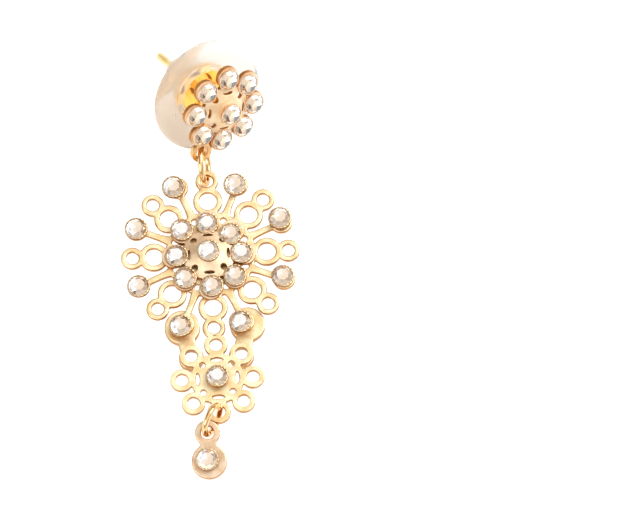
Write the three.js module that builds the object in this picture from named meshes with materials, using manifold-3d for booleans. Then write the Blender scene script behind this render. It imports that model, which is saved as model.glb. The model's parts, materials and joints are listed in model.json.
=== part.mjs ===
// Chandelier earring with a post stud, a pierced sunburst plate, a lower flower and a pendant.
// It lies on its jump rings and on the soft disc of its clutch. Millimetres, Z up, +Y toward the stud.
import * as THREE from "three";
import { mergeVertices } from "three/addons/utils/BufferGeometryUtils.js";
import { ConvexGeometry } from "three/addons/geometries/ConvexGeometry.js";
import Module from "manifold-3d";

const wasm = await Module();
wasm.setup();

const UP = new THREE.Vector3(0, 0, 1);
const turn = (degrees) => THREE.MathUtils.degToRad(degrees);

// Sheet, wire and clearances
const SHEET_T = 0.56;
const SOLDER_LAP = 0.03;
const WIRE_D = 0.6;
const WIRE_PLAY = 0.76;
const WIRE_UNDER_PLAY = 0.28;
const REST_GAP = 0.02;
const RING_SET = 0.15;

// Cut stones and their gripped cups
const STONE_D = 2.06;
const STONE_CROWN = 0.48;
const STONE_PAVILION = 0.52;
const TABLE_SHARE = 0.56;
const STAR_SHARE = 0.81;
const CUP_WALL = 0.1;
const SEAT_GAP = 0.04;
const GIRDLE_H = 0.7;

// How far the hand-set stones stand from the middles of their places
const CLUSTER_SHIFTS = [
  { x: -0.12, y: 0 },
  { x: -0.12, y: -0.36 },
  { x: 0, y: -0.1 },
  { x: -0.18, y: 0.34 },
  { x: 0.18, y: 0 },
  { x: -0.05, y: 0 },
  { x: 0.18, y: 0 },
  { x: 0.15, y: 0 },
  { x: 0, y: 0 },
];
const RAY_SHIFTS = [
  { x: -0.13, y: 0.22 },
  { x: -0.19, y: -0.2 },
  { x: -0.35, y: -0.15 },
  { x: -0.03, y: -0.15 },
  { x: -0.06, y: -0.25 },
  { x: -0.31, y: -0.42 },
  { x: -0.33, y: -0.3 },
  { x: -0.12, y: 0.05 },
];

// Eight-petalled flower blank
const PETALS = 8;
const FLOWER_T = 0.5;
const FLOWER_GIRDLE_H = 0.28;
const CUP_SINK = 0.25;
const FLOWER_BODY_D = 5.3;
const PETAL_D = 2.26;
const PETAL_LAP = 0.23;
const SLOT_LENGTH = 1.42;
const SLOT_WIDTH = 0.6;
const SLOT_MARGIN = 0.67;
const EYE_D = 0.64;
const EYE_MARGIN = 0.6;
const STONE_SET_IN = 0.17;
const DOME_H = 1.07;
const DOME_SET_IN = 0.25;

// Sunburst plate
const RAYS = 8;
const HUB_D = 9;
const BIG_RING_D = 2.85;
const BIG_HOLE_D = 1.9;
const BIG_RING_LAP = 0.275;
const SMALL_RING_D = 2.2;
const SMALL_RING_LAP = 0.365;
const RAY_LENGTH = 3.35;
const RAY_WIDTH = 0.62;
const RAY_ROOT_WIDTH = 1.3;
const PAD_D = 2.2;
const NICK_D = 0.66;
const NICK_MARGIN = 0.75;

// Disc with a ring tab, used as a link and as the pendant
const DISC_D = 3.45;
const TAB_D = 2.42;
const TAB_HOLE_D = 1.4;
const TAB_PITCH = 2.88;
const LINK_HOLE_D = 1.7;
const LINK_PITCH = 3.1;
const NECK_WIDTH = 1.7;

// Places on the drop, from the centre of the sunburst plate
const CLUSTER_PLACE = { x: -0.16, y: -0.25 };
const FLOWER_PLACE = { x: 0.1, y: -13.2 };
const LINK_LEAN = 13;
const PENDANT_REACH = 2.5;
const PENDANT_TURN = 30;
const PENDANT_SWING = 1;
const PENDANT_STONE_SHIFT = { x: -0.2, y: 0.1 };
const LOWER_RING_LEAN = -10;

// Stud: its axis points from the post's tip to the stones
const STUD_PLACE = { x: 2.31, y: 13.1 };
const STUD_YAW = 37;
const POST_SLOPE = 30.4;
const STUD_ROLL = 52.9;
const POST_D = 0.78;
const POST_TIP = 12.6;
const POST_PAD_D = 2.8;
const POST_PAD_T = 0.5;
const LOOP_D = 2.2;
const LOOP_REACH = 1.5;
const LOOP_SET_BACK = 0.85;
const TOP_RING_LEAN = 16;

// Clutch: soft disc with a hub behind, and the metal cup in it
const CLUTCH_D = 11.86;
const CLUTCH_FRONT = 2.9;
const RING_BEHIND_LOOP = 1.8;
const RING_SLANT = 1.25;
const CLUTCH_RIM_T = 1.5;
const CLUTCH_LENGTH = 6;
const CLUTCH_FUNNEL = 0.9;
const HUB_WAIST_D = 5.6;
const HUB_END_D = 3.4;
const INSERT_D = 5.08;
const INSERT_WALL = 0.26;
const INSERT_LENGTH = 3.5;
const INSERT_END_D = 3.2;
const INSERT_GAP = 0.06;
const POST_GAP = 0.09;

// Facets of round forms
const FINE = 12;
const PLAIN = 10;
const SMALL = 8;
const WIRE_SIDES = 6;
const RING_STEPS = 20;
const CLUTCH_SIDES = 28;

// Radii at which the forms of the flower and of the plate are centred
const petalR = FLOWER_BODY_D / 2 + PETAL_D / 2 - PETAL_LAP;
const stoneRingR = petalR - STONE_SET_IN;
const domeR = petalR - DOME_SET_IN;
const slotR = FLOWER_BODY_D / 2 - SLOT_MARGIN;
const eyeR = FLOWER_BODY_D / 2 - EYE_MARGIN;
const loopR = petalR + LOOP_REACH;
const bigRingR = HUB_D / 2 + BIG_RING_D / 2 - BIG_RING_LAP;
const smallRingR = bigRingR + BIG_RING_D / 2 + SMALL_RING_D / 2 - SMALL_RING_LAP;
const rayR = HUB_D / 2 + RAY_LENGTH;
const nickR = HUB_D / 2 - NICK_MARGIN;

const finish = {
  sheet: { color: 0xf0cfa4, roughness: 0.5, metalness: 0.85 },
  polished: { color: 0xe8b060, roughness: 0.14, metalness: 1 },
  stone: { color: 0xd8c4ae, roughness: 0.04, metalness: 0.35 },
  silicone: { color: 0xf1ece6, roughness: 0.55, metalness: 0 },
};

// Solids from closed geometries, and geometries from solids
function solidOf(geometry) {
  const bare = geometry.clone();
  bare.deleteAttribute("normal");
  bare.deleteAttribute("uv");
  const merged = mergeVertices(bare, 1e-5);
  return new wasm.Manifold(
    new wasm.Mesh({
      numProp: 3,
      vertProperties: merged.attributes.position.array,
      triVerts: new Uint32Array(merged.index.array),
    }),
  );
}

function geometryOf(solid) {
  const mesh = solid.getMesh();
  const geometry = new THREE.BufferGeometry();
  geometry.setAttribute("position", new THREE.BufferAttribute(mesh.vertProperties, 3));
  geometry.setIndex(new THREE.BufferAttribute(mesh.triVerts, 1));
  return geometry;
}

function joined(geometries) {
  return geometries.map(solidOf).reduce((whole, piece) => whole.add(piece));
}

function cutWith(body, geometries) {
  return body.subtract(joined(geometries));
}

const wireHole = WIRE_D + WIRE_PLAY;

// Basic forms: a round plate, a turned form and a flat outline given thickness
function round(diameter, bottom, height, sides, x = 0, y = 0) {
  const radius = diameter / 2;
  const plate = new THREE.CylinderGeometry(radius, radius, height, sides).rotateX(turn(90));
  return plate.translate(x, y, bottom + height / 2);
}

function turned(profile, sides) {
  const points = profile.map(([radius, z]) => new THREE.Vector2(radius, z));
  return new THREE.LatheGeometry(points, sides).rotateX(turn(90));
}

function plateOf(shape, bottom, height) {
  return new THREE.ExtrudeGeometry(shape, {
    depth: height,
    bevelEnabled: false,
    curveSegments: SMALL / 2,
  }).translate(0, 0, bottom);
}

function around(count, radius, offset, make) {
  return Array.from({ length: count }, (_, index) => {
    const angle = offset + (index * 2 * Math.PI) / count;
    return make(radius * Math.cos(angle), radius * Math.sin(angle), angle);
  });
}

// Cups and stones: the stone's widest line is on z = 0, and a cup's foot lies at the depth given.
const stoneRadius = STONE_D / 2;
const cupRadius = stoneRadius + SEAT_GAP + CUP_WALL;

function cupBody(foot) {
  return turned(
    [
      [0, -foot],
      [stoneRadius, -foot],
      [cupRadius, -foot / 2],
      [cupRadius, -SEAT_GAP],
      [0, -SEAT_GAP],
    ],
    PLAIN,
  );
}

function stoneSeat() {
  const tip = -STONE_PAVILION - SEAT_GAP;
  return turned(
    [
      [0, tip],
      [SEAT_GAP, tip],
      [stoneRadius + SEAT_GAP, -SEAT_GAP],
      [stoneRadius + SEAT_GAP, SEAT_GAP],
      [0, SEAT_GAP],
    ],
    PLAIN,
  );
}

// The cups of the stones at these places, joined to the metal and hollowed for the stones
function withCups(metal, places, foot) {
  const at = (make) => places.map(({ x, y, z }) => make().translate(x, y, z));
  return cutWith(metal.add(joined(at(() => cupBody(foot)))), at(stoneSeat));
}

function stone() {
  const ringOf = (count, radius, z, offset) =>
    around(count, radius, offset, (x, y) => new THREE.Vector3(x, y, z));
  const corner = Math.PI / PETALS;
  return new ConvexGeometry([
    ...ringOf(PETALS, stoneRadius * TABLE_SHARE, STONE_CROWN, corner),
    ...ringOf(PETALS, stoneRadius * STAR_SHARE, STONE_CROWN / 2, 0),
    ...ringOf(2 * PETALS, stoneRadius, 0, 0),
    new THREE.Vector3(0, 0, -STONE_PAVILION),
  ]);
}

// Flower blank with its back on z = 0
function slotShape() {
  const half = SLOT_LENGTH / 2;
  const shape = new THREE.Shape();
  shape.moveTo(-SLOT_WIDTH / 4, -half);
  shape.quadraticCurveTo(SLOT_WIDTH * 0.75, 0, -SLOT_WIDTH / 4, half);
  shape.quadraticCurveTo(-SLOT_WIDTH * 0.75, 0, -SLOT_WIDTH / 4, -half);
  return shape;
}

function flowerBlank(thickness, openPetals) {
  const petal = (x, y) => round(PETAL_D, 0, thickness, FINE, x, y);
  const body = joined([
    round(FLOWER_BODY_D, 0, thickness, 2 * FINE),
    ...around(PETALS, petalR, 0, petal),
  ]);
  const through = [-SHEET_T, 3 * SHEET_T];
  const slot = (x, y, angle) => plateOf(slotShape(), ...through).rotateZ(angle).translate(x, y, 0);
  const holes = around(PETALS, petalR, 0, (x, y) => round(wireHole, ...through, FINE, x, y));
  return cutWith(body, [
    ...(openPetals ? holes : []),
    ...around(PETALS / 2, slotR, 0, slot),
    ...around(PETALS / 2, eyeR, turn(45), (x, y) => round(EYE_D, ...through, SMALL, x, y)),
  ]);
}

// The pressed dome lifts the middle of the blank and leaves its petals nearly flat.
function domeHeight(radius) {
  const share = Math.min(radius / domeR, 1);
  return (DOME_H * (1 + Math.cos(Math.PI * share))) / 2;
}

function domed(geometry) {
  const place = geometry.attributes.position;
  for (let index = 0; index < place.count; index += 1) {
    const lift = domeHeight(Math.hypot(place.getX(index), place.getY(index)));
    place.setZ(index, place.getZ(index) + lift);
  }
  return geometry;
}

// Places of a domed flower's stones, at their widest line
const petalLevel = FLOWER_T + FLOWER_GIRDLE_H;

const petalStep = Math.PI / PETALS;

function flowerPlaces(offset) {
  const ring = around(PETALS, stoneRingR, offset, (x, y) => ({ x, y, z: petalLevel }));
  return [...ring, { x: 0, y: 0, z: petalLevel + DOME_H }];
}

function shifted(places, shifts) {
  const shift = ({ x, y, z }, index) => ({ x: x + shifts[index].x, y: y + shifts[index].y, z });
  return places.map(shift);
}

const studPlaces = flowerPlaces(petalStep);
const clusterPlaces = shifted(flowerPlaces(0), CLUSTER_SHIFTS);

// The cups sink into the petals and fill them.
function domedFlower(offset, places) {
  const crown = domed(geometryOf(flowerBlank(FLOWER_T, false)).rotateZ(offset));
  return withCups(solidOf(crown), places, FLOWER_GIRDLE_H + CUP_SINK);
}

// Sunburst plate with its back on z = 0
function rayShape() {
  const root = HUB_D / 2 - RAY_WIDTH;
  const slim = bigRingR;
  const shape = new THREE.Shape();
  shape.moveTo(root, -RAY_ROOT_WIDTH / 2);
  shape.quadraticCurveTo(root + RAY_WIDTH, -RAY_WIDTH / 2, slim, -RAY_WIDTH / 2);
  shape.lineTo(rayR, -RAY_WIDTH / 2);
  shape.lineTo(rayR, RAY_WIDTH / 2);
  shape.lineTo(slim, RAY_WIDTH / 2);
  shape.quadraticCurveTo(root + RAY_WIDTH, RAY_WIDTH / 2, root, RAY_ROOT_WIDTH / 2);
  return shape;
}

const halfStep = Math.PI / RAYS;
const rayEnd = (x, y) => ({ x, y, z: SHEET_T + GIRDLE_H });
const rayPlaces = shifted(around(RAYS, rayR, halfStep, rayEnd), RAY_SHIFTS);

function sunburst() {
  const ringAt = (diameter, sides) => (x, y) => round(diameter, 0, SHEET_T, sides, x, y);
  const holeAt = (diameter, sides) => (x, y) =>
    round(diameter, -SHEET_T, 3 * SHEET_T, sides, x, y);
  const body = joined([
    round(HUB_D, 0, SHEET_T, 2 * FINE),
    ...around(RAYS, bigRingR, 0, ringAt(BIG_RING_D, FINE)),
    ...around(RAYS, smallRingR, 0, ringAt(SMALL_RING_D, FINE)),
    ...around(RAYS, rayR, halfStep, ringAt(PAD_D, PLAIN)),
    ...around(RAYS, 0, halfStep, (x, y, angle) => plateOf(rayShape(), 0, SHEET_T).rotateZ(angle)),
  ]);
  const plate = cutWith(body, [
    ...around(RAYS, bigRingR, 0, holeAt(BIG_HOLE_D, FINE)),
    ...around(RAYS, smallRingR, 0, holeAt(wireHole, FINE)),
    ...around(RAYS, nickR, halfStep, holeAt(NICK_D, SMALL)),
  ]);
  return withCups(plate, rayPlaces, GIRDLE_H + SOLDER_LAP);
}

// Disc with its ring tab: the tab's hole is on the origin, the disc lies toward -Y, the back on z = 0.
const linkThickness = WIRE_D + WIRE_UNDER_PLAY;

function tabbedDisc(pitch, holeD) {
  const neck = new THREE.BoxGeometry(NECK_WIDTH, pitch / 3, linkThickness);
  const neckPlace = -(TAB_D - holeD) / 4 - (holeD / 2 + pitch - DISC_D / 2) / 2;
  const body = joined([
    round(DISC_D, 0, linkThickness, 2 * PLAIN, 0, -pitch),
    round(TAB_D, 0, linkThickness, FINE),
    neck.translate(0, neckPlace, linkThickness / 2),
  ]);
  return cutWith(body, [round(holeD, -SHEET_T, 3 * SHEET_T + linkThickness, FINE)]);
}

// A round ring that stands on the surface and runs through two holes, at the lean given
function linkDirection(from, to) {
  return new THREE.Vector3(to.x - from.x, to.y - from.y, 0).normalize();
}

function standingRing(from, to, lean) {
  const level = linkDirection(from, to);
  const across = new THREE.Vector3().crossVectors(level, UP);
  const line = to.clone().sub(from).normalize();
  const side = across.clone().addScaledVector(line, -across.dot(line)).normalize();
  const tilted = new THREE.Vector3().crossVectors(side, line);
  const axis = side.multiplyScalar(Math.cos(turn(lean))).addScaledVector(tilted, Math.sin(turn(lean)));
  const along = new THREE.Vector3().crossVectors(UP, axis).normalize();
  const rise = new THREE.Vector3().crossVectors(axis, along);
  const foot = (REST_GAP + WIRE_D / 2) / rise.z;
  const near = from.z / rise.z - foot;
  const far = to.z / rise.z - foot;
  const span = to.clone().sub(from).dot(along) + 2 * RING_SET;
  const reach = Math.sqrt(near * far) * Math.hypot(span, far - near);
  const centreSpan = (near * (span * span + far * (far - near))) / (near * span + reach);
  const radius = (centreSpan * centreSpan + near * near) / (2 * near);
  const centre = from.clone().addScaledVector(along, centreSpan - RING_SET);
  centre.addScaledVector(rise, radius - near);
  return { radius, centre, axis };
}

function jumpRing({ radius, centre, axis }) {
  const ring = new THREE.TorusGeometry(radius, WIRE_D / 2, WIRE_SIDES, RING_STEPS);
  ring.applyQuaternion(new THREE.Quaternion().setFromUnitVectors(UP, axis));
  return ring.translate(centre.x, centre.y, centre.z);
}

// Heights above the surface
const plateBottom = linkThickness - SOLDER_LAP;
const plateTop = plateBottom + SHEET_T;
const plateMiddle = (plateBottom + plateTop) / 2;

// Clutch and post profiles run along the stud's axis, with the stones' widest line on z = 0. The disc
// stands behind the flower, and behind the top ring, which slants outward as it leaves the loop.
const clutchRadius = CLUTCH_D / 2;
const ringBehindRim = RING_BEHIND_LOOP + (clutchRadius - loopR) * RING_SLANT;
const rimFront = -Math.max(CLUTCH_FRONT, ringBehindRim);
const rimBack = rimFront - CLUTCH_RIM_T;
const clutchEnd = rimFront - CLUTCH_LENGTH;
const insertFront = rimFront - CLUTCH_FUNNEL;
const insertEnd = insertFront - INSERT_LENGTH;
const insertRadius = INSERT_D / 2;
const insertEndRadius = INSERT_END_D / 2;
const boreRadius = POST_D / 2 + POST_GAP;
const rimRound = CLUTCH_RIM_T / 3;
const waistRound = 1.5 * rimRound;

const discProfile = [
  [boreRadius, clutchEnd],
  [HUB_END_D / 2, clutchEnd],
  [HUB_END_D / 2 + rimRound, clutchEnd + rimRound],
  [HUB_WAIST_D / 2, rimBack - waistRound],
  [HUB_WAIST_D / 2 + waistRound, rimBack - rimRound / 2],
  [clutchRadius - rimRound, rimBack],
  [clutchRadius, rimBack + rimRound],
  [clutchRadius, rimFront - rimRound],
  [clutchRadius - rimRound, rimFront],
  [insertRadius + INSERT_GAP, insertFront],
  [insertEndRadius + INSERT_GAP, insertEnd - INSERT_GAP],
  [boreRadius, insertEnd - INSERT_GAP],
  [boreRadius, clutchEnd],
];

const insertProfile = [
  [boreRadius, insertEnd],
  [insertEndRadius, insertEnd],
  [insertRadius, insertFront],
  [insertRadius - INSERT_WALL, insertFront],
  [insertEndRadius, insertEnd + 3 * INSERT_WALL],
  [boreRadius, insertEnd + INSERT_WALL],
  [boreRadius, insertEnd],
];

const flowerBack = -petalLevel;
const postTop = flowerBack + DOME_H + FLOWER_T / 4;

// The post ends in a half ball.
const postRadius = POST_D / 2;
const tipAngle = turn(30);
const postProfile = [
  [0, -POST_TIP],
  [postRadius * Math.sin(tipAngle), -POST_TIP + postRadius * (1 - Math.cos(tipAngle))],
  [postRadius, -POST_TIP + postRadius],
  [postRadius, postTop],
  [0, postTop],
];

// Stud frame: origin on the axis at the stones' widest line, X toward the hang loop, Z along the axis
const slope = turn(POST_SLOPE);
const studAxis = new THREE.Vector3(
  Math.cos(slope) * Math.sin(turn(STUD_YAW)),
  -Math.cos(slope) * Math.cos(turn(STUD_YAW)),
  Math.sin(slope),
);
const levelInStud = new THREE.Vector3().crossVectors(studAxis, UP).normalize();
const steepest = new THREE.Vector3().crossVectors(studAxis, levelInStud);
const loopDirection = steepest
  .multiplyScalar(Math.cos(turn(STUD_ROLL)))
  .addScaledVector(levelInStud, Math.sin(turn(STUD_ROLL)));
const lowest = Math.max(
  ...[...discProfile, ...postProfile].map(
    ([radius, z]) => radius * Math.cos(slope) - z * Math.sin(slope),
  ),
);
const studCentre = new THREE.Vector3(STUD_PLACE.x, STUD_PLACE.y, lowest);
const loopCentre = studCentre
  .clone()
  .addScaledVector(loopDirection, loopR)
  .addScaledVector(studAxis, -LOOP_SET_BACK);

// Solids of the stud in its own frame
function studHead() {
  const flower = geometryOf(domedFlower(petalStep, studPlaces)).translate(0, 0, flowerBack);
  const loopBottom = -LOOP_SET_BACK - SHEET_T / 2;
  const bridgeLength = loopR - LOOP_D / 2 - petalR + PETAL_D / 2;
  const bridge = new THREE.BoxGeometry(bridgeLength, PETAL_D / 2, SHEET_T);
  const loop = joined([
    round(LOOP_D, loopBottom, SHEET_T, FINE, loopR),
    bridge.translate(loopR - LOOP_D / 2 - bridgeLength / 3, 0, -LOOP_SET_BACK),
  ]);
  const padBottom = flowerBack + DOME_H - POST_PAD_T;
  const padHeight = POST_PAD_T + FLOWER_T / 4;
  return joined([
    flower,
    round(POST_PAD_D, padBottom, padHeight, PLAIN),
    turned(postProfile, PLAIN),
  ])
    .add(loop)
    .subtract(solidOf(round(wireHole, loopBottom - SHEET_T, 3 * SHEET_T, FINE, loopR)));
}

// The whole filigree drop in the drop's frame, with its back at plateBottom
function linkPlaces() {
  return [-1, 1].map((side) => ({
    x: FLOWER_PLACE.x + (side * petalR) / Math.SQRT2,
    y: FLOWER_PLACE.y + petalR / Math.SQRT2,
    angle: Math.PI + turn(side * -LINK_LEAN),
  }));
}

function filigreeDrop() {
  const cluster = geometryOf(domedFlower(0, clusterPlaces));
  cluster.translate(CLUSTER_PLACE.x, CLUSTER_PLACE.y, plateTop - SOLDER_LAP);
  const middle = [{ x: 0, y: 0, z: SHEET_T + GIRDLE_H }];
  const flower = geometryOf(withCups(flowerBlank(SHEET_T, true), middle, GIRDLE_H + SOLDER_LAP));
  flower.translate(FLOWER_PLACE.x, FLOWER_PLACE.y, plateBottom);
  const links = linkPlaces().map(({ x, y, angle }) =>
    geometryOf(tabbedDisc(LINK_PITCH, LINK_HOLE_D)).rotateZ(angle).translate(x, y, 0),
  );
  const plate = geometryOf(sunburst()).translate(0, 0, plateBottom);
  return joined([plate, cluster, flower, ...links]);
}

const pendantPlace = {
  x: PENDANT_STONE_SHIFT.x,
  y: PENDANT_STONE_SHIFT.y - TAB_PITCH,
  z: linkThickness + GIRDLE_H,
};

function pendant() {
  return withCups(tabbedDisc(TAB_PITCH, TAB_HOLE_D), [pendantPlace], GIRDLE_H + SOLDER_LAP);
}

// Scene
function node(name, geometry, look) {
  const mesh = new THREE.Mesh(geometry, new THREE.MeshStandardMaterial(finish[look]));
  mesh.name = name;
  return mesh;
}

function stoneNode(name, { x, y, z }) {
  const mesh = node(name, geometryOf(solidOf(stone())), "stone");
  mesh.position.set(x, y, z);
  return mesh;
}

function stoneNodes(prefix, places) {
  return places.map((place, index) => stoneNode(`${prefix}_${index + 1}`, place));
}

const earring = new THREE.Group();

const stud = new THREE.Group();
stud.position.copy(studCentre);
const sideways = new THREE.Vector3().crossVectors(studAxis, loopDirection);
stud.quaternion.setFromRotationMatrix(
  new THREE.Matrix4().makeBasis(loopDirection, sideways, studAxis),
);
const studStones = new THREE.Group();
studStones.position.z = flowerBack;
studStones.add(...stoneNodes("stud_stone", studPlaces));
stud.add(
  node("stud_head", geometryOf(studHead()), "sheet"),
  studStones,
  node("clutch_disc", geometryOf(solidOf(turned(discProfile, CLUTCH_SIDES))), "silicone"),
  node("clutch_insert", geometryOf(solidOf(turned(insertProfile, 2 * PLAIN))), "polished"),
);

const clusterStones = new THREE.Group();
clusterStones.position.set(CLUSTER_PLACE.x, CLUSTER_PLACE.y, plateTop - SOLDER_LAP);
clusterStones.add(...stoneNodes("cluster_stone", clusterPlaces));
const rayStones = new THREE.Group();
rayStones.position.z = plateBottom;
rayStones.add(...stoneNodes("ray_stone", rayPlaces));

const flowerHole = new THREE.Vector3(FLOWER_PLACE.x, FLOWER_PLACE.y - petalR, plateMiddle);
const pendantHole = new THREE.Vector3(
  flowerHole.x - PENDANT_REACH * Math.sin(turn(PENDANT_TURN)),
  flowerHole.y - PENDANT_REACH * Math.cos(turn(PENDANT_TURN)),
  plateBottom + linkThickness / 2,
);
const pendantArm = TAB_PITCH + DISC_D / 2;
const pendantSlant = Math.hypot(pendantArm, linkThickness / 2);
const pendantDrop = Math.asin(pendantHole.z / pendantSlant) - Math.atan2(linkThickness / 2, pendantArm);
const pendantGroup = new THREE.Group();
pendantGroup.position.copy(pendantHole);
pendantGroup.rotation.set(pendantDrop, 0, turn(PENDANT_SWING), "ZXY");
const pendantParts = new THREE.Group();
pendantParts.position.z = -linkThickness / 2;
pendantParts.add(
  node("pendant_disc", geometryOf(pendant()), "sheet"),
  stoneNode("pendant_stone", pendantPlace),
);
pendantGroup.add(pendantParts);

const plateHole = new THREE.Vector3(0, smallRingR, plateMiddle);
const topRing = standingRing(plateHole, loopCentre, TOP_RING_LEAN);
const lowerRing = standingRing(flowerHole, pendantHole, LOWER_RING_LEAN);

earring.add(
  stud,
  node("top_jump_ring", jumpRing(topRing), "polished"),
  node("filigree_drop", geometryOf(filigreeDrop()), "sheet"),
  clusterStones,
  rayStones,
  stoneNode("flower_stone", { ...FLOWER_PLACE, z: plateTop + GIRDLE_H }),
  node("lower_jump_ring", jumpRing(lowerRing), "polished"),
  pendantGroup,
);

// The origin is the middle of the whole earring's outline, on the surface it lies on.
earring.updateMatrixWorld(true);
const box = new THREE.Box3().setFromObject(earring, true);
earring.position.set(-(box.min.x + box.max.x) / 2, -(box.min.y + box.max.y) / 2, -box.min.z);

export default earring;
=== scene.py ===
import json
import math

import bpy
import numpy as np
from mathutils import Matrix, Vector

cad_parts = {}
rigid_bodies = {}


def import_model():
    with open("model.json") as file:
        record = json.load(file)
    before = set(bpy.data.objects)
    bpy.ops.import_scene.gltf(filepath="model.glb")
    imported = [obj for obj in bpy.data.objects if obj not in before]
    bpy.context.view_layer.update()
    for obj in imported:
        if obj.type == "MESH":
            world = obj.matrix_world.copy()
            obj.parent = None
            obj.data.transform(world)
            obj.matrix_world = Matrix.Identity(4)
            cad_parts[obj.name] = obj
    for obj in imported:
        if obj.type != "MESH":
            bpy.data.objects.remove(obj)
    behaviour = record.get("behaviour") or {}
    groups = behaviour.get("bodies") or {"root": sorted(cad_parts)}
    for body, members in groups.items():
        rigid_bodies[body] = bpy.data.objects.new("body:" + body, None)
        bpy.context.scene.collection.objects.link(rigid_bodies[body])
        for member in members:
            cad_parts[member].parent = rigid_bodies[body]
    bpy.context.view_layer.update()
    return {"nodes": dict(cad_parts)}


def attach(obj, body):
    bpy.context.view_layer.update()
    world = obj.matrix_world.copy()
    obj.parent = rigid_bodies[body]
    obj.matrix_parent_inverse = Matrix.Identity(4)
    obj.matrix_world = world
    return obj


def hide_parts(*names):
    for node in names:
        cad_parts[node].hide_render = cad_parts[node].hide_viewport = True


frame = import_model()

bpy.ops.object.select_all(action="DESELECT")

# The pieces are modelled in millimetres and set in the frame, which is in metres.
MM = 0.001
UP = Vector((0, 0, 1))

# Points of a piece nearer than MERGE_DISTANCE are merged. CLOSED_R is the radius of the pinholes in
# the ends of turned forms.
MERGE_DISTANCE = 1e-4
CLOSED_R = 0.02

# Smoothness: sides of round forms, and the angle in degrees over which faces are shaded as one
RING_SIDES = 64
LARGE_SIDES = 96
SMOOTH_ANGLE = 40

# Sheet metal: EDGE_LOSS is what the rounding takes off an edge.
SHEET_T = 0.56
LINK_T = 0.88
SOLDER_LAP = 0.03
WIRE_HOLE_D = 1.36
SHEET_GRAIN = 0.07
SHEET_ROUNDS = 5
EDGE_LOSS = 0.04
THROUGH = (-SHEET_T, 3 * SHEET_T)

# Half the angle from one petal, ray or facet to the next, in degrees
HALF_STEP = 22.5

# Cut stones and their gripped cups
STONE_SIDES = 8
STONE_R = 1.03
STONE_CROWN = 0.48
STONE_PAVILION = 0.52
PEAK_SHARE = 0.03
TABLE_SHARE = 0.6
TABLE_RISE = 0.012
STAR_SHARE = 0.81
STAR_RISE = 0.01
CULET_SHARE = 0.1
CULET_RISE = 0.02
GIRDLE_H = 0.7
GIRDLE_T = 0.05
CUP_WALL = 0.1
CUP_FLOOR_T = 0.05
SEAT_GAP = 0.03

# Teeth of a cup's rim. Each gap between them is bent out and down: TOOTH_GAPS says where in a
# tooth's pitch, and which share of the bend.
TEETH = 18
TOOTH_GAPS = ((0, 1), (0.25, 0.5), (0.75, 0.5))
GAP_REACH = 0.1
GAP_FLARE = 0.03
GAP_DIP = 0.06
RIM_LEVEL = 0.03

# Facets, told apart by how far they face up, and their painted reflections and highlights round the
# stone, 0 dark to 1 bright
TABLE_FACING = 0.95
PAVILION_FACING = -0.05
TABLE_PAINTED_LIGHT = (0.8, 0.97, 1, 0.8, 0.74, 0.72, 0.72, 0.74)
CROWN_PAINTED_LIGHT = (0.85, 1, 1, 0.95, 0.75, 0.66, 0.5, 0.42)
STUD_TABLE_PAINTED_LIGHT = (1, 0.7, 0.66, 0.6, 0.5, 0.1, 0.14, 1)
STUD_CROWN_PAINTED_LIGHT = (1, 0.72, 0.66, 0.5, 0.82, 0.2, 0.45, 0.4)

# Stones whose table catches a painted highlight, in one tone
TABLE_HIGHLIGHT_TONE = 0.97
BRIGHT_STONES = {
    "flower_stone",
    "ray_stone_7",
    *(f"cluster_stone_{index}" for index in (1, 3, 4, 5, 9)),
}

# How far the stones are turned in their cups, in degrees: those of the drop differ from each other
STUD_TURN = 95
DROP_TURN = 80
DROP_TURN_STEP = 23
DROP_TURN_RANGE = 40

# Eight-petalled flower blank
PETALS = 8
FLOWER_T = 0.5
FLOWER_GIRDLE_H = 0.28
CUP_SINK = 0.25
PETAL_R = 3.55
PETAL_D = 2.26
FLOWER_BODY_D = 5.3
SLOT_R = 1.98
SLOT_LENGTH = 1.5
SLOT_WIDTH = 0.42
DOME_SLOT_WIDTH = 0.26
EYE_R = 2.05
EYE_D = 0.64
DOME_H = 1.07
DOME_R = 3.3

# Sunburst plate
RAYS = 8
FLOWER_FROM_PLATE = (0.1, -13.2, 0)
HUB_D = 9
BIG_RING_R = 5.65
BIG_RING_D = 2.85
BIG_HOLE_D = 1.9
SMALL_RING_R = 7.81
SMALL_RING_D = 2.2
RAY_R = 7.85
RAY_WIDTH = 0.62
PAD_D = 2.2
PLATE_FIRST_ROUNDS = 2
NICK_R = 3.75
NICK_D = 0.66

# Where a ray widens into the hub: distance from the plate's centre, and width
RAY_ROOT = ((5.1, 0.68), (4.6, 0.84), (4.2, 1.06), (3.9, 1.3))

# Disc with a ring tab: the link discs and the pendant
DISC_D = 3.45
TAB_D = 2.42
TAB_HOLE_D = 1.4
TAB_PITCH = 2.88
LINK_PITCH = 3.35
LINK_HOLE_D = 1.7
NECK_WIDTH = 1.7
NECK_START = 0.15
NECK_LAP = 0.3
LINK_LEAN = 13
PENDANT_STONE_SHIFT = (-0.2, 0.1)

# Stud, post and clutch, along the stud's axis from the stones' widest line
POST_D = 0.78
POST_TIP = 12.6
POST_PAD_D = 2.8
POST_PAD_T = 0.5
LOOP_R = 5.05
LOOP_SET_BACK = 0.85
LOOP_D = 2.2
LOOP_NECK_LENGTH = 0.6
LOOP_NECK_START = 0.1
CLUTCH_D = 11.86
CLUTCH_FRONT = -2.9
CLUTCH_RIM_T = 1.5
CLUTCH_RIM_ROUND = 0.55
CLUTCH_RIM_STEPS = 9
CLUTCH_LENGTH = 6
CLUTCH_FUNNEL = 0.9
HUB_WAIST_D = 5.6
HUB_END_D = 3.4
INSERT_D = 5.08
INSERT_WALL = 0.14
INSERT_LENGTH = 3.5
INSERT_END_D = 3.2
INSERT_GAP = 0.06
INSERT_FRONT = CLUTCH_FRONT - CLUTCH_FUNNEL
POST_GAP = 0.09
BORE_R = POST_D / 2 + POST_GAP

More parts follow.
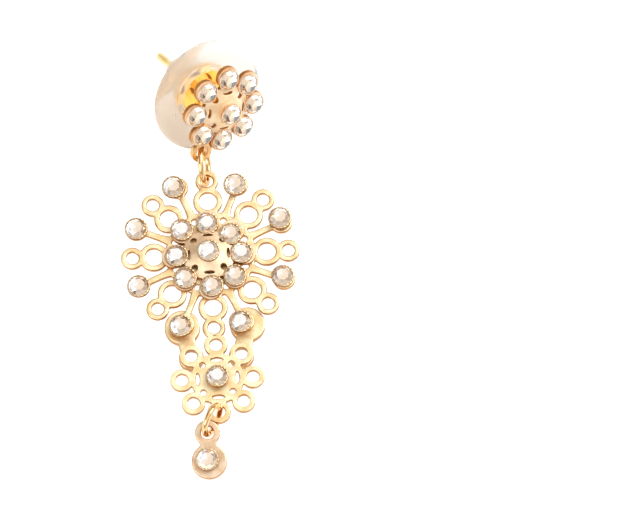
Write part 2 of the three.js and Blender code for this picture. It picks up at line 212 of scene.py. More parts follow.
# Jump rings: a seam, where the wire's ends meet, is a little narrower and lies toward SEAM_SIDE.
WIRE_D = 0.6
SEAM_SHARE = 0.88
SEAM_HALF_ANGLE = 0.01
SEAM_SIDE = Vector((0.1, -0.9, -0.4))

# The photo's framing: the camera looks down from the pendant's side, and sees PHOTO_MM from side to
# side.
PHOTO_MM = 64
CAMERA_ELEVATION = 70
CAMERA_ROLL = 2.95
CAMERA_LENS = 900
SENSOR = 36
VIEW_RIGHT = 10.97
VIEW_DOWN = 0.21


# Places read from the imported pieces
def points_of(node):
    return np.array([v.co for v in frame["nodes"][node].data.vertices]) / MM


def flattest_axis(points):
    """The direction in which a round piece is thinnest, pointing up."""
    spread = np.cov((points - points.mean(0)).T)
    axis = Vector(np.linalg.eigh(spread)[1][:, 0])
    return axis if axis.z > 0 else -axis


def seat_of(stone):
    """The middle of a stone at its widest line, and which way the stone faces."""
    points = points_of(stone)
    axis = flattest_axis(points)
    culet = (points @ np.array(axis)).min()
    middle = Vector(points.mean(0))
    return middle + axis * (culet + STONE_PAVILION - middle.dot(axis)), axis


def place(origin, across, axis):
    """The matrix that stands a piece on origin, with its X along across and its Z along axis."""
    axis = axis.normalized()
    across = (across - axis * across.dot(axis)).normalized()
    side = axis.cross(across)
    turned = Matrix((across, side, axis)).transposed().to_4x4()
    return Matrix.Translation(origin) @ turned


flower_top = seat_of("flower_stone")[0] - UP * GIRDLE_H
plate_centre = flower_top - Vector(FLOWER_FROM_PLATE)
plate_place = Matrix.Translation(plate_centre - UP * SHEET_T)
flower_place = Matrix.Translation(flower_top - UP * SHEET_T)
petal_level = FLOWER_T + FLOWER_GIRDLE_H
cluster_seat = seat_of("cluster_stone_9")[0]
cluster_place = Matrix.Translation(cluster_seat - UP * (DOME_H + petal_level))

stud_seats = [seat_of(f"stud_stone_{index + 1}") for index in range(PETALS + 1)]
stud_axis = stud_seats[-1][1]
ring_middle = sum((seat for seat, _ in stud_seats[:-1]), Vector()) / PETALS
loop_way = (stud_seats[0][0] + stud_seats[PETALS - 1][0]) / 2 - ring_middle
stud_place = place(ring_middle, loop_way, stud_axis)


# Modelling tools
def start(name):
    """An empty piece, in edit mode."""
    mesh = bpy.data.meshes.new(name)
    piece = bpy.data.objects.new(name, mesh)
    bpy.context.scene.collection.objects.link(piece)
    bpy.ops.object.select_all(action="DESELECT")
    pick(piece)
    bpy.ops.object.mode_set(mode="EDIT")
    return piece


def pick(piece):
    bpy.context.view_layer.objects.active = piece
    piece.select_set(True)


def done(piece):
    """Leaves edit mode with doubles merged and the faces pointing out."""
    bpy.ops.mesh.select_all(action="SELECT")
    bpy.ops.mesh.remove_doubles(threshold=MERGE_DISTANCE)
    bpy.ops.mesh.normals_make_consistent(inside=False)
    bpy.ops.object.mode_set(mode="OBJECT")
    piece.select_set(False)
    return piece


def select_points(piece, test):
    """Selects a piece's points by their place, and leaves it in edit mode."""
    bpy.ops.object.select_all(action="DESELECT")
    pick(piece)
    bpy.ops.object.mode_set(mode="EDIT")
    bpy.ops.mesh.select_all(action="DESELECT")
    bpy.ops.object.mode_set(mode="OBJECT")
    for vertex in piece.data.vertices:
        vertex.select = test(vertex.co)
    bpy.ops.object.mode_set(mode="EDIT")


def add_round(diameter, bottom, height, sides=RING_SIDES, x=0, y=0):
    bpy.ops.mesh.primitive_cylinder_add(
        vertices=sides, radius=diameter / 2, depth=height, location=(x, y, bottom + height / 2)
    )


def add_ring(diameter, hole, height, x=0, y=0):
    """A flat ring: its outer circle, drawn in to the hole and raised."""
    diameter, hole = diameter + 2 * EDGE_LOSS, hole - 2 * EDGE_LOSS
    bpy.ops.mesh.select_all(action="DESELECT")
    bpy.ops.mesh.primitive_circle_add(vertices=RING_SIDES, radius=diameter / 2, location=(x, y, 0))
    bpy.ops.mesh.extrude_region_move()
    share = hole / diameter
    bpy.ops.transform.resize(value=(share, share, 1), center_override=(x, y, 0))
    bpy.ops.mesh.select_linked()
    bpy.ops.mesh.extrude_region_move(TRANSFORM_OT_translate={"value": (0, 0, height)})


def add_turned(rings, sides):
    """A closed turned form through rings of (radius, height), the first and last of them alike."""
    radius, height = rings[0]
    bpy.ops.mesh.select_all(action="DESELECT")
    bpy.ops.mesh.primitive_circle_add(vertices=sides, radius=radius, location=(0, 0, height))
    for next_radius, next_height in rings[1:]:
        rise = {"value": (0, 0, next_height - height)}
        bpy.ops.mesh.extrude_region_move(TRANSFORM_OT_translate=rise)
        share = next_radius / radius
        bpy.ops.transform.resize(value=(share, share, 1), center_override=(0, 0, next_height))
        radius, height = next_radius, next_height


def spots(count, radius, offset=0.0):
    """Places round a circle, as x, y and the angle there."""
    for index in range(count):
        angle = math.radians(offset) + index * 2 * math.pi / count
        yield radius * math.cos(angle), radius * math.sin(angle), angle


def cut(piece, cutter, operation="DIFFERENCE"):
    boolean = piece.modifiers.new("Cut", "BOOLEAN")
    boolean.operation = operation
    boolean.object = cutter
    boolean.solver = "EXACT"
    apply_modifiers(piece)
    bpy.data.objects.remove(cutter)


def apply_modifiers(piece):
    bpy.ops.object.select_all(action="DESELECT")
    pick(piece)
    for modifier in list(piece.modifiers):
        bpy.ops.object.modifier_apply(modifier=modifier.name)
    piece.select_set(False)


def join(name, pieces):
    bpy.ops.object.select_all(action="DESELECT")
    for piece in pieces:
        piece.select_set(True)
    bpy.context.view_layer.objects.active = pieces[0]
    bpy.ops.object.join()
    pieces[0].select_set(False)
    pieces[0].name = name
    return pieces[0]


def soften(piece, grain=SHEET_GRAIN, rounds=SHEET_ROUNDS):
    """Runs the overlapping forms of a plate together and rounds its edges."""
    fuse = piece.modifiers.new("Fuse", "REMESH")
    fuse.mode = "VOXEL"
    fuse.voxel_size = grain
    smooth = piece.modifiers.new("Round", "SMOOTH")
    smooth.factor = 0.5
    smooth.iterations = rounds
    apply_modifiers(piece)
    mark_painted_edge_shade(piece)
    return piece


def mark_painted_edge_shade(piece):
    """Keeps how steeply each point lies, for the painted shade: a deeper colour on steep sides and
    cut edges.
    """
    mesh = piece.data
    normals = np.array([v.normal for v in mesh.vertices])
    edge = mesh.attributes.new("painted_edge_shade", "FLOAT", "POINT")
    edge.data.foreach_set("value", (1 - np.abs(normals[:, 2])).astype(np.float32))


def copy_of(piece, name):
    twin = piece.copy()
    twin.data = piece.data.copy()
    twin.name = name
    bpy.context.scene.collection.objects.link(twin)
    return twin


def shade(piece, flat=False):
    bpy.ops.object.select_all(action="DESELECT")
    pick(piece)
    if flat:
        bpy.ops.object.shade_flat()
    else:
        bpy.ops.object.shade_smooth_by_angle(angle=math.radians(SMOOTH_ANGLE))
    piece.select_set(False)


def set_piece(piece, matrix, materials, slot, body, *nodes):
    """Sets a finished piece in the frame and hangs it on its body."""
    piece.data.transform(Matrix.Scale(MM, 4) @ matrix)
    piece.data.materials.clear()
    for material in materials:
        piece.data.materials.append(material)
    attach(piece, body)
    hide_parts(*nodes)
    return piece


def set_matte(piece, matrix, material, node):
    """Sets a gold piece of the earring, in the one material given, in place of a node."""
    return set_piece(piece, matrix, [material], "matte_gold", "earring", node)


# Materials. The sockets of a colour mix have no names of their own.
MIX_FIRST = 6
MIX_SECOND = 7
MIX_RESULT = 2

# Tones of the painted shade on steep sides and cut edges, deep and light: for the plates, then for
# the lighter and the darker cups
EDGE_SHADE_TONES = ((0.42, 0.18, 0.05), (0.64, 0.32, 0.10))
LIT_CUP_EDGE_SHADE_TONES = ((0.72, 0.44, 0.24), (0.98, 0.74, 0.54))
SHADED_CUP_EDGE_SHADE_TONES = ((0.20, 0.085, 0.025), (0.42, 0.20, 0.07))


def new_material(name):
    material = bpy.data.materials.new(name)
    material.use_nodes = True
    nodes = material.node_tree.nodes
    return material, nodes, material.node_tree.links, nodes["Principled BSDF"]


def noise(nodes, links, scale, detail=3.0):
    """Noise that is fixed to the piece."""
    coordinates = nodes.new("ShaderNodeTexCoord")
    texture = nodes.new("ShaderNodeTexNoise")
    texture.inputs["Scale"].default_value = scale
    texture.inputs["Detail"].default_value = detail
    links.new(coordinates.outputs["Object"], texture.inputs["Vector"])
    return texture.outputs["Fac"]


def ramp(nodes, links, source, stops):
    """Colours or greys for a value, by (position, colour)."""
    colours = nodes.new("ShaderNodeValToRGB")
    elements = colours.color_ramp.elements
    while len(elements) < len(stops):
        elements.new(0.5)
    for element, (position, colour) in zip(elements, stops):
        element.position = position
        element.color = (*colour, 1)
    links.new(source, colours.inputs["Fac"])
    return colours.outputs["Color"]


def grey(value):
    return (value, value, value)


def mix(nodes, links, share, first, second, blend="MIX"):
    mixer = nodes.new("ShaderNodeMix")
    mixer.data_type = "RGBA"
    mixer.blend_type = blend
    sockets = (mixer.inputs["Factor"], mixer.inputs[MIX_FIRST], mixer.inputs[MIX_SECOND])
    for socket, value in zip(sockets, (share, first, second)):
        if isinstance(value, (int, float)):
            socket.default_value = value
        else:
            links.new(value, socket)
    return mixer.outputs[MIX_RESULT]


def bump(nodes, links, shader, height, strength, distance):
    bumps = nodes.new("ShaderNodeBump")
    bumps.inputs["Strength"].default_value = strength
    bumps.inputs["Distance"].default_value = distance
    links.new(height, bumps.inputs["Height"])
    links.new(bumps.outputs["Normal"], shader.inputs["Normal"])


def matte_gold(name, dull, light, edge_shade_tones=EDGE_SHADE_TONES, blur=0.36):
    """Satin pale gold, with painted shade: a deeper tone on its steep sides and cut edges."""
    material, nodes, links, shader = new_material(name)
    deep_edge_shade, light_edge_shade = edge_shade_tones
    shader.inputs["Metallic"].default_value = 1.0
    edge = nodes.new("ShaderNodeAttribute")
    edge.attribute_name = "painted_edge_shade"
    cloudy = noise(nodes, links, scale=900)
    top = ramp(nodes, links, cloudy, [(0.36, dull), (0.64, light)])
    side = ramp(nodes, links, cloudy, [(0.3, deep_edge_shade), (0.7, light_edge_shade)])
    # Painted shade: the steeper a face, the more it takes the deep edge tones
    share = ramp(nodes, links, edge.outputs["Fac"], [(0.02, grey(0)), (0.6, grey(1))])
    links.new(mix(nodes, links, share, top, side), shader.inputs["Base Color"])
    roughness = ramp(nodes, links, cloudy, [(0.2, grey(blur)), (0.8, grey(blur + 0.14))])
    links.new(roughness, shader.inputs["Roughness"])
    grain = noise(nodes, links, scale=6000, detail=5.0)
    bump(nodes, links, shader, grain, strength=0.35, distance=2e-5)
    return material


def polished_gold(name, light, deep, roughness):
    """Bright polished gold with faint wear."""
    material, nodes, links, shader = new_material(name)
    shader.inputs["Metallic"].default_value = 1.0
    cloudy = noise(nodes, links, scale=1500)
    links.new(ramp(nodes, links, cloudy, [(0.3, deep), (0.7, light)]), shader.inputs["Base Color"])
    worn = ramp(nodes, links, cloudy, [(0.3, grey(roughness)), (0.8, grey(roughness * 1.8))])
    links.new(worn, shader.inputs["Roughness"])
    bump(nodes, links, shader, noise(nodes, links, scale=3500), strength=0.15, distance=1e-5)
    return material


def glowing_lining_gold():
    """The bright orange gold inside the clutch, with a few dark painted reflections as spots, and a
    painted glow: it gives off light of its own.
    """
    material, nodes, links, shader = new_material("glowing_insert_gold")
    shader.inputs["Metallic"].default_value = 0.5
    shader.inputs["Roughness"].default_value = 0.3
    painted_reflection_spots = noise(nodes, links, scale=900, detail=1.0)
    tones = [(0.32, (0.20, 0.09, 0.02)), (0.38, (0.98, 0.58, 0.14)), (0.7, (1.0, 0.76, 0.30))]
    tint = ramp(nodes, links, painted_reflection_spots, tones)
    links.new(tint, shader.inputs["Base Color"])
    # Painted glow: the insert gives off orange light of its own, though it is no lamp
    links.new(tint, shader.inputs["Emission Color"])
    shader.inputs["Emission Strength"].default_value = 0.45
    bump(nodes, links, shader, noise(nodes, links, scale=3500), strength=0.15, distance=1e-5)
    return material


def crystal():
    """The front of a foiled stone: each facet has its own painted light, from smoky painted
    reflections through champagne to silvery painted highlights.
    """
    material, nodes, links, shader = new_material("crystal")
    shader.inputs["Metallic"].default_value = 0.75
    shader.inputs["Roughness"].default_value = 0.05
    shader.inputs["Coat Weight"].default_value = 1.0
    shader.inputs["Coat Roughness"].default_value = 0.02
    facet = nodes.new("ShaderNodeAttribute")
    facet.attribute_name = "facet_painted_light"
    stops = [
        (0.1, (0.17, 0.20, 0.22)),
        (0.35, (0.36, 0.25, 0.17)),
        (0.72, (0.94, 0.76, 0.58)),
        (1, (1, 0.99, 0.97)),
    ]
    # Painted reflections and highlights, one tone for each facet
    tone = ramp(nodes, links, facet.outputs["Fac"], stops)
    cloudy = ramp(nodes, links, noise(nodes, links, scale=1600), [(0.3, grey(0.9)), (0.7, grey(1))])
    links.new(mix(nodes, links, 1.0, tone, cloudy, "MULTIPLY"), shader.inputs["Base Color"])
    return material


def foil():
    """The champagne foil behind a stone."""
    material, nodes, links, shader = new_material("champagne_foil")
    shader.inputs["Metallic"].default_value = 1.0
    shader.inputs["Roughness"].default_value = 0.06
    cloudy = noise(nodes, links, scale=1400)
    tint = ramp(nodes, links, cloudy, [(0.3, (0.80, 0.66, 0.52)), (0.7, (0.93, 0.84, 0.74))])
    links.new(tint, shader.inputs["Base Color"])
    return material


def silicone():
    """Frosted soft silicone, milky and see-through, with painted shade: darker and warmer toward
    its lower left.
    """
    material, nodes, links, shader = new_material("frosted_silicone")
    shader.inputs["Transmission Weight"].default_value = 0.72
    shader.inputs["IOR"].default_value = 1.2
    coordinates = nodes.new("ShaderNodeTexCoord")
    along = nodes.new("ShaderNodeVectorMath")
    along.operation = "DOT_PRODUCT"
    slant = 0.7
    half_fade = 0.005
    along.inputs[1].default_value = (slant, slant, 0)
    links.new(coordinates.outputs["Object"], along.inputs[0])
    middle = stud_place @ Vector((0, 0, CLUTCH_FRONT)) * MM
    share = nodes.new("ShaderNodeMapRange")
    share.inputs["From Min"].default_value = slant * (middle.x + middle.y) - half_fade
    share.inputs["From Max"].default_value = slant * (middle.x + middle.y) + half_fade
    links.new(along.outputs["Value"], share.inputs["Value"])
    # Painted shade: the lower left half darker and warmer, as shade with warm light bounced from
    # the gold
    painted_shade_tones = [(0, (0.80, 0.69, 0.57)), (0.45, (0.88, 0.83, 0.76)), (0.9, (0.95, 0.935, 0.915))]
    tint = ramp(nodes, links, share.outputs["Result"], painted_shade_tones)
    cloudy = noise(nodes, links, scale=260)
    milky = ramp(nodes, links, cloudy, [(0.3, grey(0.97)), (0.7, grey(1))])
    links.new(mix(nodes, links, 1.0, tint, milky, "MULTIPLY"), shader.inputs["Base Color"])
    frosting = ramp(nodes, links, cloudy, [(0.3, grey(0.22)), (0.7, grey(0.28))])
    links.new(frosting, shader.inputs["Roughness"])
    bump(nodes, links, shader, noise(nodes, links, scale=2500), strength=0.1, distance=2e-5)
    return material


# Finishes of the pieces
satin = matte_gold("satin_pale_gold", (0.95, 0.68, 0.34), (1.0, 0.90, 0.60))
dome_satin = matte_gold("soft_satin_gold", (0.90, 0.66, 0.42), (1.0, 0.86, 0.64), blur=0.52)
# The satin gold, darker, for the pendant plate
darker_satin = matte_gold("darker_satin_gold", (0.74, 0.50, 0.30), (0.92, 0.72, 0.52))
# Lit and shaded copies of one cup gold: the stud's cups lighter with painted light, the drop's cups
# darker with painted shade and a painted reflection of the plate
lit_cup = matte_gold(
    "lit_copy_cup_gold", (0.96, 0.76, 0.54), (1.0, 0.88, 0.72), LIT_CUP_EDGE_SHADE_TONES
)
shaded_cup = matte_gold("shaded_copy_cup_gold", (0.86, 0.60, 0.32), (1.0, 0.82, 0.54), SHADED_CUP_EDGE_SHADE_TONES)
bright = polished_gold("polished_gold", (0.99, 0.70, 0.36), (0.80, 0.46, 0.19), 0.12)
pale = polished_gold("post_gold", (1.0, 0.80, 0.42), (0.98, 0.74, 0.36), 0.42)
deep_gold = polished_gold("deep_gold", (0.88, 0.58, 0.28), (0.66, 0.38, 0.15), 0.22)
glowing_insert_gold = glowing_lining_gold()
clear = crystal()
backing = foil()
soft = silicone()


# Cups and stones: the stone's widest line is on z = 0.
def gripped_cup(foot):
    """A turned cup that reaches down to its foot, its rim pressed over the stone in small teeth."""
    piece = start("gripped_cup")
    wall = STONE_R + SEAT_GAP
    outer = wall + CUP_WALL
    tip = -STONE_PAVILION - SEAT_GAP
    base = min(-foot, tip - CUP_FLOOR_T)
    # Radius and height: the base, the bulging outside, the lip over the stone, the seat
    add_turned(
        [
            (CLOSED_R, base),
            (STONE_R * 0.35, base),
            (STONE_R - 0.03, -foot),
            (STONE_R, -foot * 0.85),
            (outer - 0.02, -foot * 0.5),
            (outer, -foot * 0.35),
            (outer, -0.02),
            (outer - 0.05, 0.07),
            (wall - 0.04, 0.09),
            (wall - 0.05, 0.05),
            (wall, 0),
            (wall, -0.05),
            (CLOSED_R, tip),
            (CLOSED_R, base),
        ],
        sides=TEETH * 4,
    )
    done(piece)
    notch_rim(piece)
    mark_painted_edge_shade(piece)
    return piece


def off_gap(co, gap):
    """How far a point of a rim is from a gap's place in its tooth's pitch, in pitches."""
    tooth = 2 * math.pi / TEETH
    return abs((math.atan2(co.y, co.x) / tooth - gap + 0.5) % 1 - 0.5)


def notch_rim(piece):
    """Opens the rim between its teeth: the middle of a gap is bent most, its sides half as far."""
    for gap, depth in TOOTH_GAPS:
        select_points(piece, lambda co: co.z > RIM_LEVEL and off_gap(co, gap) < GAP_REACH)
        share = 1 + GAP_FLARE * depth
        bpy.ops.transform.resize(value=(share, share, 1), center_override=(0, 0, 0))
        bpy.ops.transform.translate(value=(0, 0, -GAP_DIP * depth))
        bpy.ops.object.mode_set(mode="OBJECT")
    piece.select_set(False)


def cut_stone(table_light, crown_light):
    """A brilliant-cut stone: faintly raised table, crown facets, thin girdle, foiled pavilion."""
    piece = start("cut_stone")
    # Corners, radius, height, and turn in degrees
    circles = [
        (STONE_SIDES, STONE_R * PEAK_SHARE, STONE_CROWN + TABLE_RISE, HALF_STEP),
        (STONE_SIDES, STONE_R * TABLE_SHARE, STONE_CROWN, HALF_STEP),
        (STONE_SIDES, STONE_R * STAR_SHARE, STONE_CROWN / 2 + STAR_RISE, 0),
        (2 * STONE_SIDES, STONE_R, GIRDLE_T / 2, 0),
        (2 * STONE_SIDES, STONE_R, -GIRDLE_T / 2, 0),
        (STONE_SIDES, STONE_R * CULET_SHARE, -STONE_PAVILION + CULET_RISE, HALF_STEP),
    ]
    sector_angle = 2 * math.pi / STONE_SIDES
    for count, radius, height, offset in circles:
        bpy.ops.mesh.select_all(action="DESELECT")
        bpy.ops.mesh.primitive_circle_add(
            vertices=count,
            radius=radius,
            location=(0, 0, height),
            rotation=(0, 0, math.radians(offset)),
        )
    bpy.ops.mesh.select_all(action="SELECT")
    bpy.ops.mesh.convex_hull()
    done(piece)
    # Each facet takes a tone of painted light from the tables, by its row and its sector round the
    # stone
    tones = []
    for face in piece.data.polygons:
        face.material_index = 1 if face.normal.z < PAVILION_FACING else 0
        sector = round(math.atan2(face.center.y, face.center.x) / sector_angle) % STONE_SIDES
        row = table_light if face.normal.z > TABLE_FACING else crown_light
        tones.append(row[sector])
    tone = piece.data.attributes.new("facet_painted_light", "FLOAT", "FACE")
    tone.data.foreach_set("value", tones)
    return piece


def paint_table_highlight(gem):
    """Paints a stone's flat top with a bright painted highlight."""
    for face in gem.data.polygons:
        if face.normal.z > TABLE_FACING:
            gem.data.attributes["facet_painted_light"].data[face.index].value = TABLE_HIGHLIGHT_TONE


# Eight-petalled flower: its back is on z = 0.
def leaf_cutter(width):
    """The leaf-shaped slot: where two round bars cross."""
    radius = (SLOT_LENGTH**2 + width**2) / (4 * width)
    offset = radius - width / 2
    bars = []
    for side in (-1, 1):
        bar = start("bar")
        add_round(2 * radius, *THROUGH, sides=48, x=side * offset)
        bars.append(done(bar))
    cut(bars[0], bars[1], "INTERSECT")
    return bars[0]


def flower_blank(thickness, slot_width):
    """A pierced disc with eight ring petals: four leaf-shaped slots and four round eyes."""
    body = start("flower_body")
    add_round(FLOWER_BODY_D, 0, thickness, sides=LARGE_SIDES)
    done(body)
    leaf = leaf_cutter(slot_width)
    for x, y, angle in spots(PETALS // 2, SLOT_R):
        cutter = copy_of(leaf, "slot")
        cutter.data.transform(Matrix.Translation((x, y, 0)) @ Matrix.Rotation(angle, 4, "Z"))
        cut(body, cutter)
    bpy.data.objects.remove(leaf)
    eyes = start("eyes")
    for x, y, _ in spots(PETALS // 2, EYE_R, offset=2 * HALF_STEP):
        add_round(EYE_D, *THROUGH, sides=24, x=x, y=y)
    cut(body, done(eyes))
    petals = start("petals")
    for x, y, _ in spots(PETALS, PETAL_R):
        add_ring(PETAL_D, WIRE_HOLE_D, thickness, x, y)
    done(petals)
    return soften(join("flower_blank", [body, petals]))


def press_dome(piece):
    """Presses the middle of the blank up into a dome."""
    rise = piece.vertex_groups.new(name="rise")
    for vertex in piece.data.vertices:
        share = min(math.hypot(vertex.co.x, vertex.co.y) / DOME_R, 1)
        rise.add([vertex.index], (1 + math.cos(math.pi * share)) / 2, "REPLACE")
    press = piece.modifiers.new("Press", "DISPLACE")
    press.direction = "Z"
    press.mid_level = 0
    press.strength = DOME_H
    press.vertex_group = rise.name
    apply_modifiers(piece)
    piece.vertex_groups.clear()


# Sunburst plate: its back is on z = 0.
def ray_bar():
    """A ray that widens into the hub."""
    piece = start("ray")
    middle = ((RAY_R + BIG_RING_R) / 2, 0, SHEET_T / 2)
    size = (RAY_R - BIG_RING_R, RAY_WIDTH, SHEET_T)
    bpy.ops.mesh.primitive_cube_add(size=1, location=middle)
    bpy.ops.transform.resize(value=size, center_override=middle)
    bpy.ops.mesh.select_all(action="DESELECT")
    bpy.ops.object.mode_set(mode="OBJECT")
    for face in piece.data.polygons:
        face.select = face.normal.x < -0.9  # its inner end
    bpy.ops.object.mode_set(mode="EDIT")
    bpy.ops.mesh.select_mode(type="FACE")
    reach, width = BIG_RING_R, RAY_WIDTH
    for next_reach, next_width in RAY_ROOT:
        step = {"value": (next_reach - reach, 0, 0)}
        bpy.ops.mesh.extrude_region_move(TRANSFORM_OT_translate=step)
        bpy.ops.transform.resize(
            value=(1, next_width / width, 1), center_override=(next_reach, 0, SHEET_T / 2)
        )
        reach, width = next_reach, next_width
    bpy.ops.mesh.select_mode(type="VERT")
    return done(piece)


def sunburst_plate():
    """The hub with its nicked edge, eight rays with a pad each, and the two rings of rings."""
    hub = start("hub")
    add_round(HUB_D, 0, SHEET_T, sides=128)
    done(hub)
    bar = ray_bar()
    rays = [hub]
    for _, _, angle in spots(RAYS, RAY_R, offset=HALF_STEP):
        ray = copy_of(bar, "ray")
        ray.data.transform(Matrix.Rotation(angle, 4, "Z"))
        rays.append(ray)
    bpy.data.objects.remove(bar)
    rings = start("rings")
    for x, y, _ in spots(RAYS, BIG_RING_R):
        add_ring(BIG_RING_D, BIG_HOLE_D, SHEET_T, x, y)
    for x, y, _ in spots(RAYS, SMALL_RING_R):
        add_ring(SMALL_RING_D, WIRE_HOLE_D, SHEET_T, x, y)
    for x, y, _ in spots(RAYS, RAY_R, offset=HALF_STEP):
        add_round(PAD_D, 0, SHEET_T, x=x, y=y)
    rays.append(done(rings))
    plate = join("sunburst_plate", rays)
    soften(plate, rounds=PLATE_FIRST_ROUNDS)
    # The painted edge shade is dropped here, and marked again once the nicks are cut
    plate.data.attributes.remove(plate.data.attributes["painted_edge_shade"])
    nicks = start("nicks")
    for x, y, _ in spots(RAYS, NICK_R, offset=HALF_STEP):
        add_round(NICK_D, *THROUGH, sides=32, x=x, y=y)
    cut(plate, done(nicks))
    return soften(plate)


# Disc with its ring tab: its back is on z = 0, the tab's hole on the origin, the disc toward -Y.
def tabbed_disc(pitch, hole):
    ring = start("tab")
    add_ring(TAB_D, hole, LINK_T)
    done(ring)
    disc = start("disc")
    add_round(DISC_D + 2 * EDGE_LOSS, 0, LINK_T, sides=LARGE_SIDES, y=-pitch)
    reach = pitch - hole / 2 - DISC_D / 2 + NECK_LAP
    middle = (0, -hole / 2 - reach / 2 - NECK_START, LINK_T / 2)
    bpy.ops.mesh.primitive_cube_add(size=1, location=middle)
    bpy.ops.transform.resize(value=(NECK_WIDTH, reach, LINK_T), center_override=middle)
    done(disc)
    return soften(join("tabbed_disc", [ring, disc]))


# Turned pieces of the stud: post, clutch and insert
def post():
    """The ear post with a groove near its tip, and the pad soldered under the dome."""
    piece = start("ear_post")
    radius = POST_D / 2
    top = DOME_H - petal_level + FLOWER_T / 4
    # Radius and height: the round tip, the groove, the shaft, the solder, the pad
    add_turned(
        [
            (CLOSED_R, -POST_TIP),
            (radius * 0.5, -POST_TIP + radius * 0.12),
            (radius * 0.85, -POST_TIP + radius * 0.42),
            (radius, -POST_TIP + radius * 0.9),
            (radius, -POST_TIP + 1.5),
            (radius * 0.88, -POST_TIP + 1.65),
            (radius * 0.88, -POST_TIP + 1.95),
            (radius, -POST_TIP + 2.1),
            (radius, top - POST_PAD_T - 0.25),
            (radius + 0.12, top - POST_PAD_T - 0.08),
            (radius + 0.3, top - POST_PAD_T),
            (POST_PAD_D / 2 - 0.08, top - POST_PAD_T),
            (POST_PAD_D / 2, top - POST_PAD_T + 0.08),
            (POST_PAD_D / 2, top),
            (CLOSED_R, top),
            (CLOSED_R, -POST_TIP),
        ],
        sides=48,
    )
    return done(piece)


def hang_loop():
    """The ring soldered to the stud's edge, with its short neck."""
    piece = start("hang_loop")
    add_ring(LOOP_D, WIRE_HOLE_D, SHEET_T, LOOP_R)
    neck = (LOOP_NECK_LENGTH, PETAL_D / 2, SHEET_T)
    reach = LOOP_R - WIRE_HOLE_D / 2 - LOOP_NECK_LENGTH / 2 - LOOP_NECK_START
    middle = (reach, 0, SHEET_T / 2)
    bpy.ops.mesh.primitive_cube_add(size=1, location=middle)
    bpy.ops.transform.resize(value=neck, center_override=middle)
    done(piece)
    return soften(piece)


def clutch_disc():
    """The soft disc, its hub behind, and the seat of the insert in its rounded mouth."""
    piece = start("soft_disc")
    radius = CLUTCH_D / 2
    front = CLUTCH_FRONT
    back = front - CLUTCH_RIM_T
    end = front - CLUTCH_LENGTH
    mouth = INSERT_D / 2
    seat_end = INSERT_FRONT - INSERT_LENGTH - INSERT_GAP
    # Radius and height: the hub and the back face, the rim, the front face, the mouth and the seat
    rings = [
        (BORE_R, end),
        (HUB_END_D / 2 - 0.25, end),
        (HUB_END_D / 2, end + 0.12),
        (HUB_END_D / 2 + 0.3, end + 0.55),
        (HUB_WAIST_D / 2 - 0.1, back - 1.1),
        (HUB_WAIST_D / 2 + 0.25, back - 0.5),
        (HUB_WAIST_D / 2 + 0.9, back - 0.15),
        (radius - 1.2, back + 0.05),
    ]
    rings += rim_arc(radius, back, front)
    rings += [
        (radius - 1.0, front - 0.06),
        (mouth + 0.75, INSERT_FRONT + 0.1),
        (mouth + 0.62, INSERT_FRONT + 0.24),
        (mouth + 0.45, INSERT_FRONT + 0.3),
        (mouth + 0.2, INSERT_FRONT + 0.26),
        (mouth + 0.08, INSERT_FRONT + 0.12),
        (mouth + INSERT_GAP, INSERT_FRONT),
        (INSERT_END_D / 2 + INSERT_GAP, seat_end),
        (BORE_R, seat_end),
        (BORE_R, end),
    ]
    add_turned(rings, sides=LARGE_SIDES)
    return done(piece)


def rim_arc(radius, back, front):
    """The rounded rim, from the back face to the front: an arc a little squarer than a circle."""
    middle = (back + front) / 2
    half = (front - back) / 2
    out_power, up_power = 0.7, 0.8
    arc = []
    for step in range(CLUTCH_RIM_STEPS + 1):
        angle = math.pi * (step / CLUTCH_RIM_STEPS - 0.5)
        out = radius - CLUTCH_RIM_ROUND + CLUTCH_RIM_ROUND * math.cos(angle) ** out_power
        bulge = math.copysign(abs(math.sin(angle)) ** up_power, angle)
        arc.append((out, middle + half * bulge))
    return arc


def clutch_insert():
    """The metal cup in the clutch, with a rolled mouth and a bored end."""
    piece = start("metal_insert")
    mouth = INSERT_D / 2
    end = INSERT_FRONT - INSERT_LENGTH
    # Radius and height: the bored end, the outside, the rolled mouth, the inside, the bore's lip
    add_turned(
        [
            (BORE_R, end),
            (INSERT_END_D / 2 - 0.2, end),
            (INSERT_END_D / 2, end + 0.15),
            (mouth - 0.15, INSERT_FRONT - 1.4),
            (mouth, INSERT_FRONT - 0.3),
            (mouth, INSERT_FRONT - 0.06),
            (mouth - 0.08, INSERT_FRONT),
            (mouth - INSERT_WALL + 0.06, INSERT_FRONT),
            (mouth - INSERT_WALL, INSERT_FRONT - 0.08),
            (mouth - INSERT_WALL - 0.2, INSERT_FRONT - 1.3),
            (INSERT_END_D / 2 - 0.1, end + 1.2),
            (BORE_R + 0.45, end + 0.55),
            (BORE_R + 0.15, end + 0.75),
            (BORE_R, end + 0.7),
            (BORE_R, end),
        ],
        sides=80,
    )
    return done(piece)


def jump_ring(name, node):
    """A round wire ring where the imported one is, with the fine seam where its ends meet."""
    points = points_of(node)
    middle = Vector(points.mean(0))
    axis = flattest_axis(points)
    flat = (points - points.mean(0)) - np.outer((points - points.mean(0)) @ np.array(axis), axis)
    reach = np.linalg.norm(flat, axis=1)
    radius = (reach.max() + reach.min()) / 2
    piece = start(name)
    bpy.ops.mesh.primitive_torus_add(
        major_radius=radius,
        minor_radius=WIRE_D / 2,
        major_segments=LARGE_SIDES,
        minor_segments=24,
    )
    done(piece)
    select_points(piece, lambda co: abs(math.atan2(co.y, co.x)) < SEAM_HALF_ANGLE)
    narrowed = (SEAM_SHARE, 1, SEAM_SHARE)
    bpy.ops.transform.resize(value=narrowed, center_override=(radius, 0, 0))
    bpy.ops.object.mode_set(mode="OBJECT")
    shade(piece)
    matrix = place(middle, SEAM_SIDE, axis)
    return set_piece(piece, matrix, [bright], "polished_gold", "earring", node)


